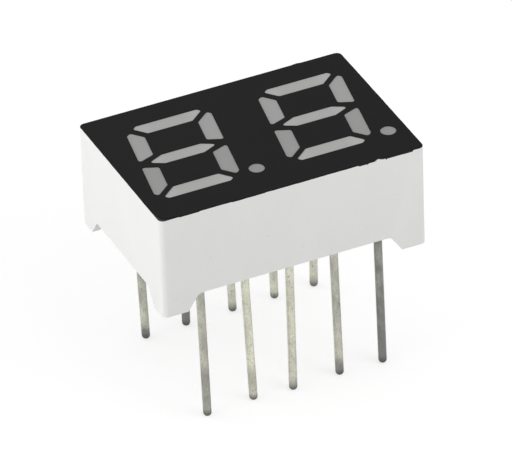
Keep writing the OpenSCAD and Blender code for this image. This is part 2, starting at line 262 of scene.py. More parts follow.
class DisplayColours(bpy.types.PropertyGroup):
    """Colours of the materials, as linear values"""

    plastic: bpy.props.FloatVectorProperty(
        name="Plastic", description="Colour of the moulded housing",
        subtype="COLOR", size=3, default=(0.85, 0.85, 0.84))
    ink: bpy.props.FloatVectorProperty(
        name="Ink", description="Colour of the print on the face",
        subtype="COLOR", size=3, default=(0.0052, 0.0052, 0.0053))
    resin: bpy.props.FloatVectorProperty(
        name="Resin", description="Colour of the cast resin",
        subtype="COLOR", size=3, default=(0.472, 0.472, 0.466))
    tin: bpy.props.FloatVectorProperty(
        name="Tin", description="Colour of the coat on the pins",
        subtype="COLOR", size=3, default=(0.745, 0.745, 0.61))
    # The dull tin is what the coat's dull marks, its darker foot and tip, and each pin's painted shade
    # go towards
    dull_tin: bpy.props.FloatVectorProperty(
        name="Dull tin", description="Colour of the coat where it is tarnished",
        subtype="COLOR", size=3, default=(0.20, 0.20, 0.19))
    board: bpy.props.FloatVectorProperty(
        name="Board", description="Colour of the bare circuit board",
        subtype="COLOR", size=3, default=(0.17, 0.24, 0.08))
    copper: bpy.props.FloatVectorProperty(
        name="Copper", description="Colour of the copper",
        subtype="COLOR", size=3, default=(0.80, 0.36, 0.18))
    chip: bpy.props.FloatVectorProperty(
        name="Chip", description="Colour of the light emitting chips",
        subtype="COLOR", size=3, default=(0.20, 0.12, 0.07))
    gold: bpy.props.FloatVectorProperty(
        name="Gold", description="Colour of the bond wires",
        subtype="COLOR", size=3, default=(0.95, 0.65, 0.22))
    floor: bpy.props.FloatVectorProperty(
        name="Floor", description="Colour of the floor",
        subtype="COLOR", size=3, default=(0.85, 0.85, 0.85))


class StageValues(bpy.types.PropertyGroup):
    """Camera and lights"""

    azimuth: bpy.props.FloatProperty(
        name="Azimuth", description="Direction of the camera, from the front towards the right",
        default=math.radians(-24.052), unit="ROTATION")
    elevation: bpy.props.FloatProperty(
        name="Elevation", description="Height of the camera above the horizon",
        default=math.radians(34.161), unit="ROTATION")
    roll: bpy.props.FloatProperty(
        name="Roll", description="Turn of the camera about its own axis",
        default=math.radians(-2.006), unit="ROTATION")
    distance: bpy.props.FloatProperty(
        name="Distance", description="From the camera to the point it aims at",
        default=418.82 * MM, unit="LENGTH", precision=4)
    aim: bpy.props.FloatVectorProperty(
        name="Aim", description="Point in the middle of the picture",
        size=3, unit="LENGTH", precision=5, default=(0.1493 * MM, 0.13 * MM, 6.965 * MM))
    lens: bpy.props.FloatProperty(
        name="Focal length", description="Focal length of the lens, in millimetres", default=565.7)
    ambient: bpy.props.FloatProperty(
        name="Ambient", description="Strength of the even light from all round", default=0.59)
    key: bpy.props.FloatProperty(
        name="Key light", description="Power of the lamp behind on the left", default=0.15)
    card: bpy.props.FloatProperty(
        name="Left card", description="Power of the low lamp on the left", default=0.16)
    fill: bpy.props.FloatProperty(
        name="Fill light", description="Power of the lamp in front on the right", default=0.0148)
    floor_glow: bpy.props.FloatProperty(
        name="Floor glow", description="How much of the white floor is seen as its own light",
        default=0.65)


SETTINGS = {
    "housing_sizes": HousingSizes,
    "print_sizes": PrintSizes,
    "resin_sizes": ResinSizes,
    "pin_sizes": PinSizes,
    "display_colours": DisplayColours,
    "stage_values": StageValues,
}


class Flow:
    """One output socket inside a material, on which plain arithmetic works"""

    def __init__(self, finish, socket):
        self.finish = finish
        self.socket = socket

    def math(self, operation, *values):
        return self.finish.add("ShaderNodeMath", {"operation": operation}, dict(enumerate(values)))

    def __add__(self, other):
        return self.math("ADD", self, other)

    __radd__ = __add__

    def __sub__(self, other):
        return self.math("SUBTRACT", self, other)

    def __rsub__(self, other):
        return self.math("SUBTRACT", other, self)

    def __mul__(self, other):
        return self.math("MULTIPLY", self, other)

    __rmul__ = __mul__

    def __truediv__(self, other):
        return self.math("DIVIDE", self, other)

    def __abs__(self):
        return self.math("ABSOLUTE", self)

    def sign(self):
        return self.math("SIGN", self)

    def sine(self):
        return self.math("SINE", self)

    def most(self, other):
        return self.math("MAXIMUM", self, other)

    def ramp(self, start, end):
        """0 below start and 1 above end, with a soft change between them"""
        return self.finish.add(
            "ShaderNodeMapRange", {"interpolation_type": "SMOOTHSTEP"},
            {"Value": self, "From Min": start, "From Max": end})

    def between(self, start, end, soft):
        """1 from start to end, fading to 0 over a soft width outside"""
        return self.ramp(start - soft, start) * (1 - self.ramp(end, end + soft))


class Finish:
    """The nodes of a material or of the world, in the making"""

    def __init__(self, owner):
        owner.use_nodes = True
        self.owner = owner
        self.tree = owner.node_tree
        self.tree.nodes.clear()

    def add(self, kind, settings=None, values=None, output=0):
        """A node of any kind: its settings first, then the values or links of its sockets"""
        node = self.tree.nodes.new(kind)
        for name, value in (settings or {}).items():
            setattr(node, name, value)
        for name, value in (values or {}).items():
            if isinstance(value, Flow):
                self.tree.links.new(value.socket, node.inputs[name])
            else:
                node.inputs[name].default_value = value
        return Flow(self, node.outputs[output]) if node.outputs else None

    def place(self, stretch=(1.0, 1.0, 1.0)):
        """Position in millimetres in the object's own frame"""
        point = self.add("ShaderNodeTexCoord", output="Object")
        scale = tuple(PER_MM * s for s in stretch)
        return self.add(
            "ShaderNodeVectorMath", {"operation": "MULTIPLY"}, {0: point, 1: scale})

    def split(self, vector):
        """The X, Y and Z of a vector"""
        node = self.add("ShaderNodeSeparateXYZ", values={0: vector}).socket.node
        return [Flow(self, output) for output in node.outputs]

    def cloud(self, place, scale, detail, roughness):
        """Noise with the given number of lumps in each millimetre"""
        return self.add(
            "ShaderNodeTexNoise", {"noise_dimensions": "3D"},
            {"Vector": place, "Scale": scale, "Detail": detail, "Roughness": roughness})

    def blend(self, share, first, second):
        """Colour that goes from first to second"""
        colours = {0: share, 6: opaque(first), 7: opaque(second)}
        return self.add("ShaderNodeMix", {"data_type": "RGBA"}, colours, output=2)

    def bump(self, height, distance, strength):
        """The normal of a relief: a height from 0 to 1, times a distance in metres"""
        return self.add(
            "ShaderNodeBump", values={"Height": height, "Distance": distance, "Strength": strength})

    def surface(self, **values):
        """A Principled shader, whose sockets are named with underscores"""
        sockets = {name.replace("_", " "): value for name, value in values.items()}
        return self.add("ShaderNodeBsdfPrincipled", values=sockets)

    def end(self, shader):
        self.add("ShaderNodeOutputMaterial", values={"Surface": shader})
        return self.owner


def new_finish(name):
    return Finish(bpy.data.materials.new(name))


def opaque(colour):
    """A linked colour as it is, and a plain one with its alpha"""
    if isinstance(colour, Flow):
        return colour
    return (*colour, 1.0)


def shade(colour, factor):
    """A plain colour made darker or lighter"""
    return tuple(factor * c for c in colour)


def front_wall(y):
    """1 on the front wall, and 0 behind it"""
    front_y = HOUSING_LOW.y * PER_MM
    return 1 - y.ramp(front_y + 0.1, front_y + 0.2)


def outside_spot(spot, x, z):
    """0 inside a small lozenge on the front wall, and 1 outside it"""
    middle_x, middle_z, half_l, half_h = spot
    return (abs(x - middle_x) / half_l + abs(z - middle_z) / half_h).ramp(0.9, 1.2)


def print_edge(finish, front, x, z):
    """1 where the print has run down over the upper edge of the walls"""
    level = finish.cloud(finish.place((1.0, 1.0, 0.0)), 0.8, 3.0, 0.65)
    depth = level.ramp(0.4, 0.7) * 0.018 + 0.004
    fade, blur = 0.06, 0.006
    for start, end, run in PRINT_RUNS:
        depth = depth + front * x.between(start, end, fade) * run
    inked = (z + depth - PRINT_LOW.z * PER_MM).ramp(-blur, blur)
    return inked * (1 - front * (1 - outside_spot(PRINT_CHIP, x, z)))


def plastic_finish(colours):
    """Off-white moulded plastic, with the print's edge run over its upper rim"""
    finish = new_finish("moulded_plastic")
    place = finish.place()
    x, y, z = finish.split(place)
    flow = finish.cloud(finish.place((1.0, 1.0, 0.35)), 0.45, 3.0, 0.6)
    grain = finish.cloud(place, 14.0, 3.0, 0.65)
    specks = finish.cloud(place, 4.0, 1.0, 0.5).ramp(0.745, 0.775)
    plain = tuple(colours.plastic)
    tone = finish.blend(flow.ramp(0.3, 0.7), shade(plain, 0.985), shade(plain, 1.01))
    tone = finish.blend(grain.ramp(0.35, 0.75) * 0.5, tone, shade(plain, 1.02))
    front = front_wall(y)
    scuff = front * (1 - outside_spot(FRONT_SCUFF, x, z))
    soil = (0.5, 0.49, 0.46)
    tone = finish.blend((specks * 0.12).most(scuff * 0.25), tone, soil)
    colour = finish.blend(print_edge(finish, front, x, z), tone, tuple(colours.ink))
    roughness = grain * 0.18 + flow * 0.1 + 0.34
    relief = finish.bump(grain * 0.7 + flow * 0.3, 0.004 * MM, 0.5)
    return finish.end(finish.surface(
        Base_Color=colour, Roughness=roughness, Normal=relief, Specular_IOR_Level=0.3))


def ink_finish(colours):
    """Matt dark ink with a fine grain, a few specks and random patches, and a painted sheen that makes
    it a little lighter towards the back left
    """
    finish = new_finish("matt_ink")
    place = finish.place()
    x, y = finish.split(place)[:2]
    broad = finish.cloud(place, 0.5, 3.0, 0.6)
    grain = finish.cloud(place, 22.0, 3.0, 0.7)
    specks = finish.cloud(place, 3.2, 0.0, 0.5).ramp(0.74, 0.8)
    plain = tuple(colours.ink)
    # Random patches of the ink, plus a painted sheen that lightens it towards the left and the back
    patches_and_sheen = (broad - 0.5) * 0.9 - x * 0.045 + y * 0.03 + 0.45
    tone = finish.blend(patches_and_sheen, shade(plain, 0.8), shade(plain, 1.3))
    tone = finish.blend(grain.ramp(0.6, 0.8) * 0.3, tone, shade(plain, 2.2))
    tone = finish.blend(specks * 0.5, tone, shade(plain, 0.3))
    roughness = grain * 0.2 + 0.5
    relief = finish.bump(grain, 0.003 * MM, 0.5)
    return finish.end(finish.surface(
        Base_Color=tone, Roughness=roughness, Normal=relief, Specular_IOR_Level=0.1))


def resin_finish(colours, sizes):
    """Milky grey resin. At the face the bars are paler than the uprights and the points."""
    finish = new_finish("milky_resin")
    place = finish.place()
    x, y, z = finish.split(place)
    face = RESIN_HIGH.z * PER_MM
    half_w = sizes.digit_width / 2 * PER_MM
    half_h = sizes.digit_height / 2 * PER_MM
    stroke = sizes.stroke * PER_MM
    far_x = half_w + sizes.gap / 2 / math.sin(sizes.middle_angle) * PER_MM
    level = y - sizes.rise * PER_MM
    home = x.sign() * (DIGIT_PITCH / 2 * PER_MM) + sizes.shift * PER_MM
    across = x - home - level * math.tan(sizes.slant)
    beside_bars = abs(across) - abs(level) + (half_h - half_w)
    beside_middle = abs(level) - (far_x - abs(across)) * math.tan(sizes.middle_angle)
    at_face = z.ramp(face - 1.5, face - 0.5)
    upright = beside_bars.ramp(-0.03, 0.03) * beside_middle.ramp(-0.1, -0.05) * at_face
    point = across.ramp(half_w + 0.1, half_w + 0.15) * at_face
    along_bar = abs(across) / (half_w - stroke)
    along_upright = abs(abs(level) - half_h / 2) / (half_h / 2 - 0.2)
    along = along_bar + (along_upright - along_bar) * upright
    cloud = finish.cloud(place, 1.3, 3.0, 0.6)
    grain = finish.cloud(place, 9.0, 3.0, 0.7)
    specks = finish.cloud(place, 6.0, 1.0, 0.5).ramp(0.74, 0.79)
    ends = (along + (cloud - 0.5) * 0.3).ramp(0.5, 1.1) * at_face
    plain = tuple(colours.resin)
    tone = finish.blend(ends, shade(plain, 1.0), shade(plain, 1.08))
    tone = finish.blend(upright, tone, shade(plain, 0.87))
    tone = finish.blend(upright * (1 - level.ramp(-0.3, 0.3)), tone, shade(plain, 0.77))
    tone = finish.blend(point, tone, shade(plain, 0.72))
    tone = finish.blend(grain.ramp(0.5, 0.8) * 0.2, tone, shade(plain, 1.12))
    tone = finish.blend(specks * 0.3, tone, shade(plain, 0.6))
    roughness = grain * 0.2 + 0.42
    relief = finish.bump(grain * 0.4 + cloud * 0.6, 0.006 * MM, 0.4)
    return finish.end(finish.surface(
        Base_Color=tone, Roughness=roughness, Normal=relief, Specular_IOR_Level=0.15))


def tin_finish(name, colours, tone_shift, dark_foot):
    """Dipped tin with grains and drag lines, duller in random patches, darkened pin by pin with
    painted light and shade, and darker towards its foot
    """
    finish = new_finish(name)
    place = finish.place()
    z = finish.split(place)[2]
    patches = finish.cloud(finish.place((0.8, 0.8, 0.5)), 1.1, 3.0, 0.65)
    lumps = finish.cloud(place, 8.0, 4.0, 0.75)
    lines = finish.cloud(finish.place((1.0, 1.0, 0.12)), 16.0, 2.0, 0.6)
    specks = finish.cloud(finish.place((1.0, 1.0, 0.7)), 11.0, 1.0, 0.5).ramp(0.64, 0.72)
    bright, dull = tuple(colours.tin), tuple(colours.dull_tin)
    foot = 1 - (z + (lumps - 0.5) * 1.5).ramp(0.6 * dark_foot, dark_foot)
    # Random dull patches, the darker foot, and each pin's painted light and shade
    dull_share = (patches - 0.5) * 1.4 + foot * 0.34 + tone_shift
    tip = 1 - z.ramp(0.12, 0.55)
    tone = finish.blend(dull_share, bright, dull)
    tone = finish.blend(lumps.ramp(0.45, 0.75) * 0.4, tone, shade(dull, 0.9))
    tone = finish.blend(lines.ramp(0.5, 0.75) * 0.3, tone, shade(dull, 0.9))
    tone = finish.blend(specks * 0.5, tone, shade(dull, 0.6))
    tone = finish.blend(tip * 0.8, tone, shade(dull, 0.4))
    roughness = lumps * 0.25 + (1 - patches) * 0.2 + 0.12
    relief = finish.bump(lumps * 0.7 + lines * 0.3, 0.012 * MM, 0.6)
    return finish.end(finish.surface(
        Base_Color=tone, Roughness=roughness, Metallic=1 - lumps * 0.3, Normal=relief))


def solder_finish():
    """Solder, bright and slightly rippled"""
    finish = new_finish("set_solder")
    ripple = finish.cloud(finish.place(), 6.0, 3.0, 0.6)
    dull, bright = (0.42, 0.42, 0.40), (0.62, 0.61, 0.58)
    tone = finish.blend(ripple.ramp(0.35, 0.7), dull, bright)
    return finish.end(finish.surface(
        Base_Color=tone, Metallic=1.0, Roughness=ripple * 0.25 + 0.2,
        Normal=finish.bump(ripple, 0.01 * MM, 0.5)))


def board_finish(colours):
    """Glass-fibre board with its weave showing through the varnish"""
    finish = new_finish("glass_fibre_board")
    place = finish.place()
    threads = 12.0
    warp, weft = [(axis * threads).sine() for axis in finish.split(place)[:2]]
    weave = warp * weft * 0.5 + 0.5
    cloud = finish.cloud(place, 2.0, 3.0, 0.6)
    plain = tuple(colours.board)
    tone = finish.blend(weave * 0.4 + cloud * 0.4, shade(plain, 0.75), shade(plain, 1.25))
    return finish.end(finish.surface(
        Base_Color=tone, Roughness=cloud * 0.2 + 0.35, Normal=finish.bump(weave, 0.005 * MM, 0.4)))


def metal_finish(name, colour, fine, roughness):
    """Bare metal foil or wire, with tarnish and finer scratches along X"""
    finish = new_finish(name)
    tone_shift = finish.cloud(finish.place(), fine, 3.0, 0.6)
    brushed = finish.cloud(finish.place((0.15, 1.0, 1.0)), 8.0 * fine, 2.0, 0.6)
    tone = finish.blend(tone_shift.ramp(0.3, 0.7), shade(colour, 0.7), shade(colour, 1.05))
    return finish.end(finish.surface(
        Base_Color=tone, Metallic=1.0, Roughness=brushed * 0.2 + roughness,
        Normal=finish.bump(brushed, 0.002 * MM, 0.4)))


def chip_finish(colours):
    """Semiconductor with sawn flanks"""
    finish = new_finish("sawn_chip")
    sawn = finish.cloud(finish.place((1.0, 1.0, 4.0)), 20.0, 2.0, 0.6)
    plain = tuple(colours.chip)
    tone = finish.blend(sawn.ramp(0.35, 0.7), shade(plain, 0.7), shade(plain, 1.5))
    return finish.end(finish.surface(
        Base_Color=tone, Roughness=sawn * 0.3 + 0.25, Normal=finish.bump(sawn, 0.003 * MM, 0.5)))


def let_go():
    """Leaves edit mode and deselects everything"""
    if bpy.context.object and bpy.context.object.mode != "OBJECT":
        bpy.ops.object.mode_set(mode="OBJECT")
    bpy.ops.object.select_all(action="DESELECT")


def take(piece):
    """Makes a piece the only selected and active one"""
    let_go()
    piece.select_set(True)
    bpy.context.view_layer.objects.active = piece
    return piece


def new_name(name):
    """Names the primitive that was just added"""
    piece = bpy.context.object
    piece.name = name
    piece.data.name = name
    return piece


def edit_mode():
    bpy.ops.object.mode_set(mode="EDIT")


def object_mode():
    bpy.ops.object.mode_set(mode="OBJECT")


def edit(kind="VERT", action="SELECT"):
    """Enters edit mode on the active piece, with all or nothing selected"""
    edit_mode()
    bpy.ops.mesh.select_mode(type=kind)
    bpy.ops.mesh.select_all(action=action)


def fix_place():
    """Moves the active object's place, turn and scale into its mesh"""
    object_mode()
    bpy.ops.object.transform_apply(location=True, rotation=True, scale=True)


def pick_points(piece, test):
    """Selects the vertices whose places pass a test, and goes to edit mode"""
    edit("VERT", "DESELECT")
    object_mode()
    for point in piece.data.vertices:
        point.select = test(point.co)
    edit_mode()


def pick_edges(piece, test):
    """Selects the edges whose two ends pass a test together, and goes to edit mode"""
    edit("EDGE", "DESELECT")
    object_mode()
    points = piece.data.vertices
    for line in piece.data.edges:
        line.select = test(*[points[i].co for i in line.vertices])
    edit_mode()


def pick_sharp_edges(piece, test, sharpness=math.radians(30)):
    """Selects the sharp edges whose ends both pass a test, and goes to edit mode"""
    edit("EDGE", "DESELECT")
    bpy.ops.mesh.edges_select_sharp(sharpness=sharpness)
    object_mode()
    points = piece.data.vertices
    for line in piece.data.edges:
        line.select = line.select and all(test(points[i].co) for i in line.vertices)
    edit_mode()


def push(offset):
    """Extrudes what is selected by an offset"""
    bpy.ops.mesh.extrude_region_move(TRANSFORM_OT_translate={"value": offset})


def push_round(rise, ratio):
    """Extrudes the round face that is selected along Z, and makes it wider or narrower"""
    push((0, 0, rise))
    bpy.ops.transform.resize(value=(ratio, ratio, 1))


def drag(offset, reach, falloff):
    """Moves what is selected, and takes its neighbourhood along"""
    bpy.ops.transform.translate(
        value=offset, use_proportional_edit=True, proportional_edit_falloff=falloff,
        proportional_size=reach)


def carve(piece, tool):
    """Cuts a tool out of a piece"""
    take(piece)
    cut = piece.modifiers.new("cut", "BOOLEAN")
    cut.operation = "DIFFERENCE"
    cut.solver = "EXACT"
    cut.object = tool
    bpy.ops.object.modifier_apply(modifier=cut.name)
    bpy.data.objects.remove(tool, do_unlink=True)


def own_copy(piece, name, move=None):
    """A copy with its own mesh, whose points are moved by a matrix"""
    copy = bpy.data.objects.new(name, piece.data.copy())
    bpy.context.scene.collection.objects.link(copy)
    if move is not None:
        copy.data.transform(move)
    return copy


def to_pin(name):
    """The move from the middle of the object to a pin"""
    low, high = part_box(name)
    return Matrix.Translation(((low.x + high.x) / 2, (low.y + high.y) / 2, 0))


def joined(parts, name):
    """Joins parts into one object"""
    let_go()
    for part in parts:
        part.select_set(True)
    bpy.context.view_layer.objects.active = parts[0]
    bpy.ops.object.join()
    return new_name(name)


def face_out():
    """Turns all faces of the active piece outwards"""
    edit("FACE")
    bpy.ops.mesh.normals_make_consistent(inside=False)
    object_mode()


def finished(piece, material, replaced=(), angle=math.radians(35)):
    """Smooths a piece, gives it its material and ties it to the body"""
    take(piece)
    bpy.ops.object.shade_smooth_by_angle(angle=angle, keep_sharp_edges=False)
    piece.data.materials.clear()
    piece.data.materials.append(material)
    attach(piece, BODY)
    if replaced:
        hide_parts(*replaced)
    return piece


def dress(node, material):
    """Gives a CAD node that stays its material"""
    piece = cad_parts[node]
    piece.data.materials.clear()
    piece.data.materials.append(material)


def fail_on_none(objects, what):
    """Raises an error where a step made nothing"""
    if not objects:
        raise RuntimeError(f"nothing was made for {what}")


class DISPLAY_OT_housing(bpy.types.Operator):
    """Moulds the housing: the CAD shell with rounded soles and notch rims"""

    bl_idname = "display.housing"
    bl_label = "Housing"

    def execute(self, context):
        sizes = context.scene.housing_sizes
        notch_z = HOUSING_LOW.z + sizes.notch_height
        coplanar = math.radians(0.2)
        piece = own_copy(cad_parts["housing"], "housing_shell")
        take(piece)
        edit()
        bpy.ops.mesh.remove_doubles(threshold=ONE_POINT)
        bpy.ops.mesh.dissolve_limited(angle_limit=coplanar, delimit={"NORMAL"})
        pick_sharp_edges(piece, lambda co: co.z < notch_z + sizes.edge)
        bpy.ops.mesh.bevel(offset=sizes.edge, segments=3, clamp_overlap=True)
        object_mode()
        material = plastic_finish(context.scene.display_colours)
        finished(piece, material, ["housing"])
        return {"FINISHED"}


def round_corners(piece, radius):
    """Rounds the corners of a flat outline, with no curve longer than most of an edge"""
    edge_share = 0.45
    ring = [Vector(piece.data.vertices[i].co) for i in piece.data.polygons[0].vertices]
    for index, point in enumerate(ring):
        before, after = point - ring[index - 1], ring[(index + 1) % len(ring)] - point
        reach = edge_share * min(before.length, after.length)
        offset = min(radius * math.tan(before.angle(after) / 2), reach)
        pick_points(piece, lambda co: (co - point).length < ONE_POINT)
        bpy.ops.mesh.bevel(affect="VERTICES", offset=offset, segments=5, clamp_overlap=False)
        object_mode()


def window_blank(name, low, high, cuts, lean, sizes):
    """The flat outline of a window: a rectangle, cut by slanting lines, leaned and rounded.

    Each cut is a point and the direction that is taken away.
    """
    let_go()
    middle = (Vector(low) + Vector(high)) / 2
    bpy.ops.mesh.primitive_plane_add(size=1, location=(*middle, 0))
    piece = new_name(name)
    size = Vector(high) - Vector(low) - Vector((2 * sizes.cover, 2 * sizes.cover))
    bpy.ops.transform.resize(value=(*size, 1))
    fix_place()
    for point, away in cuts:
        edit()
        direction = Vector(away).normalized()
        at = Vector(point) - direction * sizes.cover
        bpy.ops.mesh.bisect(
            plane_co=(*at, 0), plane_no=(*direction, 0), clear_outer=True, use_fill=False)
        object_mode()
    piece.data.transform(lean)
    round_corners(piece, sizes.round)
    return piece


def mirrored_cuts(cuts):
    """The same cuts for an outline that is turned over across X"""
    return [((x, -y), (away_x, -away_y)) for (x, y), (away_x, away_y) in cuts]


def window_tools(sizes, low_z, high_z):
    """Prisms of the windows of both digits, joined into one object"""
    half_w = sizes.digit_width / 2
    half_h = sizes.digit_height / 2
    inner_x = half_w - sizes.stroke
    inner_y = half_h - sizes.stroke
    mitre = sizes.gap / math.sqrt(2)
    low_y = sizes.side_gap / 2
    mid_y = sizes.middle_stroke / 2
    slope = (math.sin(sizes.middle_angle), math.cos(sizes.middle_angle))
    tip_x = half_w - sizes.middle_edge - sizes.gap / 2 / slope[0]
    far_x = tip_x + sizes.gap / slope[0]
    corner = (half_w - sizes.corner_cut, half_h)
    bar_end = (inner_x - mitre, inner_y)
    bar_cuts = [
        (corner, (1, 1)), ((-corner[0], corner[1]), (-1, 1)),
        (bar_end, (1, -1)), ((-bar_end[0], bar_end[1]), (-1, -1)),
    ]
    upright_cuts = [
        (corner, (1, 1)), ((inner_x, inner_y - mitre), (-1, 1)),
        ((far_x, 0), (-slope[0], -slope[1])),
    ]
    middle_cuts = [
        ((sx * tip_x, 0), (sx * slope[0], sy * slope[1])) for sx in (1, -1) for sy in (1, -1)
    ]
    lean = Matrix.Identity(4)
    lean[0][1] = math.tan(sizes.slant)
    blanks = [
        window_blank("bar", (-half_w, inner_y), (half_w, half_h), bar_cuts, lean, sizes),
        window_blank("upper", (inner_x, low_y), (half_w, half_h), upright_cuts, lean, sizes),
        window_blank(
            "lower", (inner_x, -half_h), (half_w, -low_y), mirrored_cuts(upright_cuts), lean, sizes),
        window_blank("middle", (-tip_x, -mid_y), (tip_x, mid_y), middle_cuts, lean, sizes),
    ]
    let_go()
    bpy.ops.mesh.primitive_circle_add(
        vertices=64, radius=sizes.dot / 2 - sizes.cover, fill_type="NGON")
    dot = new_name("dot")
    dot_x = DIGIT_PITCH / 2 - sizes.shift - sizes.dot_side
    dot_place = Matrix.Translation((dot_x, sizes.dot_base - half_h, 0))
    half_turn = Matrix.Rotation(math.pi, 4, "Z")
    parts = []
    for digit in (-0.5, 0.5):
        home = Matrix.Translation((digit * DIGIT_PITCH + sizes.shift, sizes.rise, low_z))
        for blank in blanks:
            parts.append(own_copy(blank, "window", home))
            if blank != blanks[-1]:
                parts.append(own_copy(blank, "window", home @ half_turn))
        parts.append(own_copy(dot, "window", home @ dot_place))
    for blank in (*blanks, dot):
        bpy.data.objects.remove(blank, do_unlink=True)
    tool = joined(parts, "window_tool")
    edit("FACE")
    push((0, 0, high_z - low_z))
    face_out()
    return tool


class DISPLAY_OT_print(bpy.types.Operator):
    """Lays the dark print on the face, with its ragged outline and sixteen windows"""

    bl_idname = "display.print"
    bl_label = "Printed face"

    def execute(self, context):
        sizes = context.scene.print_sizes
        thickness = PRINT_HIGH.z - PRINT_LOW.z
        piece = self.outline(sizes)
        edit("FACE")
        push((0, 0, thickness))
        face_out()
        over = 0.2 * MM
        carve(piece, window_tools(sizes, PRINT_LOW.z - over, PRINT_HIGH.z + over))
        top = PRINT_HIGH.z - 0.1 * thickness
        pick_sharp_edges(piece, lambda co: co.z > top, math.radians(60))
        bpy.ops.mesh.bevel(offset=sizes.edge, segments=2, clamp_overlap=True)
        object_mode()
        material = ink_finish(context.scene.display_colours)
        finished(piece, material, ["face_print"], math.radians(20))
        return {"FINISHED"}

    def outline(self, sizes):
        """The flat outline of the print, which steps back or stands out in places"""
        margin = sizes.ragged
        low = Vector((PRINT_LOW.x + margin, PRINT_LOW.y + margin))
        high = Vector((PRINT_HIGH.x - margin, PRINT_HIGH.y - sizes.back_margin))
        let_go()
        bpy.ops.mesh.primitive_plane_add(size=1, location=(*(low + high) / 2, PRINT_LOW.z))
        piece = new_name("face_film")
        bpy.ops.transform.resize(value=(*(high - low), 1))
        fix_place()
        places = ((low.x, low.y), (high.x, low.y), (high.x, high.y), (low.x, high.y))
        for place, radius in zip(places, sizes.corners):
            corner = Vector((*place, PRINT_LOW.z))
            pick_points(piece, lambda co: (co - corner).length < SAME_PLACE)
            bpy.ops.mesh.bevel(affect="VERTICES", offset=radius, segments=12, clamp_overlap=True)
            object_mode()
        # The four sides are cut up and shaken, then cut finer, smoothed and laid flat again
        self.cut_long_edges(piece, 1 * MM, 34)
        bpy.ops.transform.vertex_random(offset=sizes.ragged, uniform=0.0, normal=0.0, seed=7)
        object_mode()
        self.cut_long_edges(piece, 0.2 * MM, 3)
        edit()
        bpy.ops.mesh.vertices_smooth(factor=0.5, repeat=2)
        bpy.ops.transform.resize(value=(1, 1, 0), center_override=(0, 0, PRINT_LOW.z))
        for x, y, move_x, move_y, reach in PRINT_MARKS:
            place = Vector((x, y)) * MM
            nearest = min(((v.co.xy - place).length, v.index) for v in piece.data.vertices)[0]
            pick_points(piece, lambda co: (co.xy - place).length < nearest + SAME_PLACE)
            drag((move_x * MM, move_y * MM, 0), reach * MM, "SMOOTH")
            object_mode()
        return piece

    def cut_long_edges(self, piece, longest, cuts):
        """Divides the edges that are longer than a length"""
        pick_edges(piece, lambda a, b: (a - b).length > longest)
        bpy.ops.mesh.subdivide(number_cuts=cuts)


class DISPLAY_OT_resin(bpy.types.Operator):
    """Finishes the cast resin and the way it creeps along the walls and the pins"""

    bl_idname = "display.resin"
    bl_label = "Resin"

    def execute(self, context):
        sizes = context.scene.resin_sizes
        material = resin_finish(context.scene.display_colours, context.scene.print_sizes)
        dress("epoxy_fill", material)
        finished(self.wall_creep(sizes), material)
        wire_radius = context.scene.pin_sizes.wire / 2
        finished(self.pin_creeps(sizes, wire_radius), material)
        return {"FINISHED"}

    def wall_creep(self, sizes):
        """A hollow fillet along the walls of the cavity"""
        size = RESIN_HIGH - RESIN_LOW
        middle = (RESIN_HIGH + RESIN_LOW) / 2
        steps, sunk, thickness = 4, 0.002 * MM, 0.05 * MM
        let_go()
        bpy.ops.mesh.primitive_plane_add(size=1, location=(middle.x, middle.y, RESIN_LOW.z))
        piece = new_name("resin_creep")
        bpy.ops.transform.resize(value=(size.x, size.y, 1))
        fix_place()
        edit()
        bpy.ops.mesh.bevel(affect="VERTICES", offset=sizes.corner, segments=6, clamp_overlap=True)
        edit("EDGE")
        bpy.ops.mesh.delete(type="ONLY_FACE")
        edit("EDGE")
        wide = size.xy
        for step in range(steps):
            narrow = wide - Vector((2, 2)) * sizes.creep_width / steps
            push((0, 0, 0))
            bpy.ops.transform.resize(value=(narrow.x / wide.x, narrow.y / wide.y, 1))
            wide = narrow
        object_mode()
        half = size / 2
        for point in piece.data.vertices:
            gap = min(half.x - abs(point.co.x - middle.x), half.y - abs(point.co.y - middle.y))
            share = max(0.0, 1 - gap / sizes.creep_width)
            point.co.z = RESIN_LOW.z + sunk - sizes.creep * share ** 2
        edit("FACE")
        push((0, 0, thickness))
        face_out()
        return piece

    def pin_creeps(self, sizes, wire_radius):
        """A small hollow cone of resin round each pin"""
        steps, sunk = 5, 0.02 * MM
        reach = sizes.pin_creep_reach
        let_go()
        bpy.ops.mesh.primitive_circle_add(
            vertices=32, radius=reach, fill_type="NGON", location=(0, 0, RESIN_LOW.z + sunk))
        cone = new_name("pin_creep")
        fix_place()
        edit("FACE")
        radius, drop = reach, 0.0
        for step in range(1, steps + 1):
            share = step / steps
            new_radius = wire_radius + (reach - wire_radius) * (1 - share) ** 2
            new_drop = (sizes.pin_creep + sunk) * share ** 1.5
            push_round(drop - new_drop, new_radius / radius)
            radius, drop = new_radius, new_drop
        face_out()
        cones = [own_copy(cone, "pin_creep", to_pin(name)) for name in PINS]
        bpy.data.objects.remove(cone, do_unlink=True)
        return joined(cones, "pin_creeps")


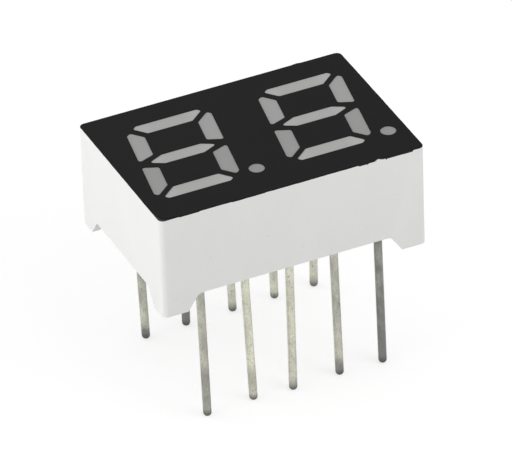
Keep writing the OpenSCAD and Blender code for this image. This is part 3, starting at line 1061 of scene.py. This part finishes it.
class DISPLAY_OT_pins(bpy.types.Operator):
    """Draws one wire pin, copies it to each place and lets each tip lean as it does"""

    bl_idname = "display.pins"
    bl_label = "Pins"

    def execute(self, context):
        sizes = context.scene.pin_sizes
        straight = self.straight_pin(sizes)
        for index, name in enumerate(PINS):
            piece = take(own_copy(straight, f"wire_{name}", to_pin(name)))
            pick_points(piece, lambda co: co.z < SAME_PLACE)
            offset = (sizes.lean_right[index] * MM, sizes.lean_back[index] * MM, 0)
            drag(offset, HOUSING_LOW.z, "LINEAR")
            object_mode()
            # Each pin gets its own copy of the tin, with its own painted light and shade
            material = tin_finish(
                f"dipped_tin_{index + 1}", context.scene.display_colours, sizes.tone_shift[index],
                sizes.dark_foot[index])
            finished(piece, material, [name], math.radians(50))
        bpy.data.objects.remove(straight, do_unlink=True)
        return {"FINISHED"}

    def rings(self, sizes):
        """Heights and radii of a straight pin, from its tip upwards"""
        low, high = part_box(PINS[0])
        wire, flat = sizes.wire / 2, sizes.tip_flat / 2
        core, collar = sizes.core / 2, (high.x - low.x) / 2
        tip_steps, shaft_steps = 7, 24
        for step in range(tip_steps + 1):
            turn = math.pi / 2 * step / tip_steps
            yield sizes.tip_height * (1 - math.cos(turn)), flat + (wire - flat) * math.sin(turn)
        shaft = sizes.coat_edge - sizes.tip_height
        for step in range(1, shaft_steps + 1):
            yield sizes.tip_height + shaft * step / shaft_steps, wire
        collar_high = sizes.collar_low + sizes.collar_height
        yield sizes.collar_low, core
        yield sizes.collar_low, collar
        yield collar_high, collar
        yield collar_high, core
        yield high.z, core

    def straight_pin(self, sizes):
        """A pin that stands straight in the middle of the object"""
        rings = list(self.rings(sizes))
        height, radius = rings[0]
        let_go()
        bpy.ops.mesh.primitive_circle_add(
            vertices=sizes.sides, radius=radius, fill_type="NGON", location=(0, 0, height))
        piece = new_name("straight_pin")
        fix_place()
        edit("FACE")
        for new_height, new_radius in rings[1:]:
            push_round(new_height - height, new_radius / radius)
            height, radius = new_height, new_radius
        face_out()
        return piece


class DISPLAY_OT_inner(bpy.types.Operator):
    """Gives the board, the copper, the chips, the bond wires and the solder their materials"""

    bl_idname = "display.inner"
    bl_label = "Inner pieces"

    def execute(self, context):
        colours = context.scene.display_colours
        copper = metal_finish("copper_foil", tuple(colours.copper), 1.5, 0.25)
        finishes = {
            "circuit_board": board_finish(colours),
            "front_copper": copper,
            "back_copper": copper,
            "chip_": chip_finish(colours),
            "bond_wire_": metal_finish("gold_wire", tuple(colours.gold), 6.0, 0.15),
            "solder_": solder_finish(),
        }
        for stem, material in finishes.items():
            nodes = [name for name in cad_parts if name.startswith(stem)]
            fail_on_none(nodes, stem)
            for name in nodes:
                dress(name, material)
        return {"FINISHED"}


class DISPLAY_OT_stage(bpy.types.Operator):
    """Sets the floor, the lights and the camera"""

    bl_idname = "display.stage"
    bl_label = "Stage"

    def execute(self, context):
        values = context.scene.stage_values
        self.floor(context.scene.display_colours, values)
        self.world(context.scene, values)
        for name, place, size, power in LAMPS:
            self.lamp(name, place, size, getattr(values, power))
        self.camera(context.scene, values)
        context.scene.view_settings.view_transform = "Standard"
        return {"FINISHED"}

    def seen(self, finish):
        """1 for rays from the camera, or that a glossy or clear surface sends on"""
        path = finish.add("ShaderNodeLightPath").socket.node
        camera, glossy, clear = [
            Flow(finish, path.outputs[name])
            for name in ("Is Camera Ray", "Is Glossy Ray", "Is Transmission Ray")
        ]
        return camera.most(glossy).most(clear)

    def floor(self, colours, values):
        """White paper that lights the object as paper does, and is seen white with its shadows"""
        let_go()
        bpy.ops.mesh.primitive_plane_add(size=FLOOR_SIZE, location=(0, 0, CAD_LOW.z))
        piece = new_name("floor")
        fix_place()
        finish = new_finish("floor_paper")
        fibres = finish.cloud(finish.place(), 0.05, 2.0, 0.5)
        plain = tuple(colours.floor)
        tone = finish.blend(fibres, shade(plain, 0.995), shade(plain, 1.005))
        matt = finish.surface(Base_Color=tone, Roughness=0.9, Specular_IOR_Level=0.0)
        rest = FLOOR_WHITE - values.floor_glow
        lifted = finish.surface(
            Base_Color=opaque((rest, rest, rest)), Roughness=0.9, Specular_IOR_Level=0.0,
            Emission_Color=opaque((1.0, 1.0, 1.0)), Emission_Strength=values.floor_glow)
        shader = finish.add("ShaderNodeMixShader", values={0: self.seen(finish), 1: matt, 2: lifted})
        piece.data.materials.append(finish.end(shader))

    def world(self, scene, values):
        """Even white light from all round, seen as white and felt at the ambient strength"""
        scene.world = bpy.data.worlds.new("studio")
        finish = Finish(scene.world)
        strength = self.seen(finish) * (1 - values.ambient) + values.ambient
        light = finish.add(
            "ShaderNodeBackground", values={"Color": opaque((1.0, 1.0, 1.0)), "Strength": strength})
        finish.add("ShaderNodeOutputWorld", values={"Surface": light})

    def lamp(self, name, place, size, power):
        """A square lamp that points at the middle of the object"""
        data = bpy.data.lights.new(name, "AREA")
        data.shape = "SQUARE"
        data.size = size
        data.energy = power
        lamp = bpy.data.objects.new(name, data)
        bpy.context.scene.collection.objects.link(lamp)
        lamp.location = place
        target = (CAD_LOW + CAD_HIGH) / 2
        lamp.rotation_euler = (target - lamp.location).to_track_quat("-Z", "Y").to_euler()

    def camera(self, scene, values):
        """The camera, at the distance and in the direction from its aim that the values give"""
        data = bpy.data.cameras.new("camera")
        data.lens = values.lens
        data.sensor_width = SENSOR_WIDTH
        data.clip_start, data.clip_end = CAMERA_RANGE
        camera = bpy.data.objects.new("camera", data)
        scene.collection.objects.link(camera)
        back = Vector((
            math.sin(values.azimuth) * math.cos(values.elevation),
            -math.cos(values.azimuth) * math.cos(values.elevation),
            math.sin(values.elevation),
        ))
        camera.rotation_mode = "QUATERNION"
        level = (-back).to_track_quat("-Z", "Y")
        camera.rotation_quaternion = level @ Matrix.Rotation(values.roll, 3, "Z").to_quaternion()
        camera.location = Vector(values.aim) + back * values.distance
        scene.camera = camera


STEPS = (
    DISPLAY_OT_stage,
    DISPLAY_OT_housing,
    DISPLAY_OT_print,
    DISPLAY_OT_resin,
    DISPLAY_OT_pins,
    DISPLAY_OT_inner,
)


class DISPLAY_PT_panel(bpy.types.Panel):
    """Lists the sizes and colours, and a button for each step"""

    bl_idname = "DISPLAY_PT_panel"
    bl_label = "Seven segment display"
    bl_space_type = "VIEW_3D"
    bl_region_type = "UI"
    bl_category = "Display"

    def draw(self, context):
        for name, group in SETTINGS.items():
            box = self.layout.box()
            box.label(text=group.__doc__)
            for prop in group.__annotations__:
                box.prop(getattr(context.scene, name), prop)
        for step in STEPS:
            self.layout.operator(step.bl_idname)


def register():
    for group in SETTINGS.values():
        bpy.utils.register_class(group)
    for name, group in SETTINGS.items():
        setattr(bpy.types.Scene, name, bpy.props.PointerProperty(type=group))
    for step in STEPS:
        bpy.utils.register_class(step)
    bpy.utils.register_class(DISPLAY_PT_panel)


def unregister():
    bpy.utils.unregister_class(DISPLAY_PT_panel)
    for step in reversed(STEPS):
        bpy.utils.unregister_class(step)
    for name, group in SETTINGS.items():
        delattr(bpy.types.Scene, name)
        bpy.utils.unregister_class(group)


def main():
    register()
    for step in STEPS:
        family, action = step.bl_idname.split(".")
        getattr(getattr(bpy.ops, family), action)()


if __name__ == "__main__":
    main()
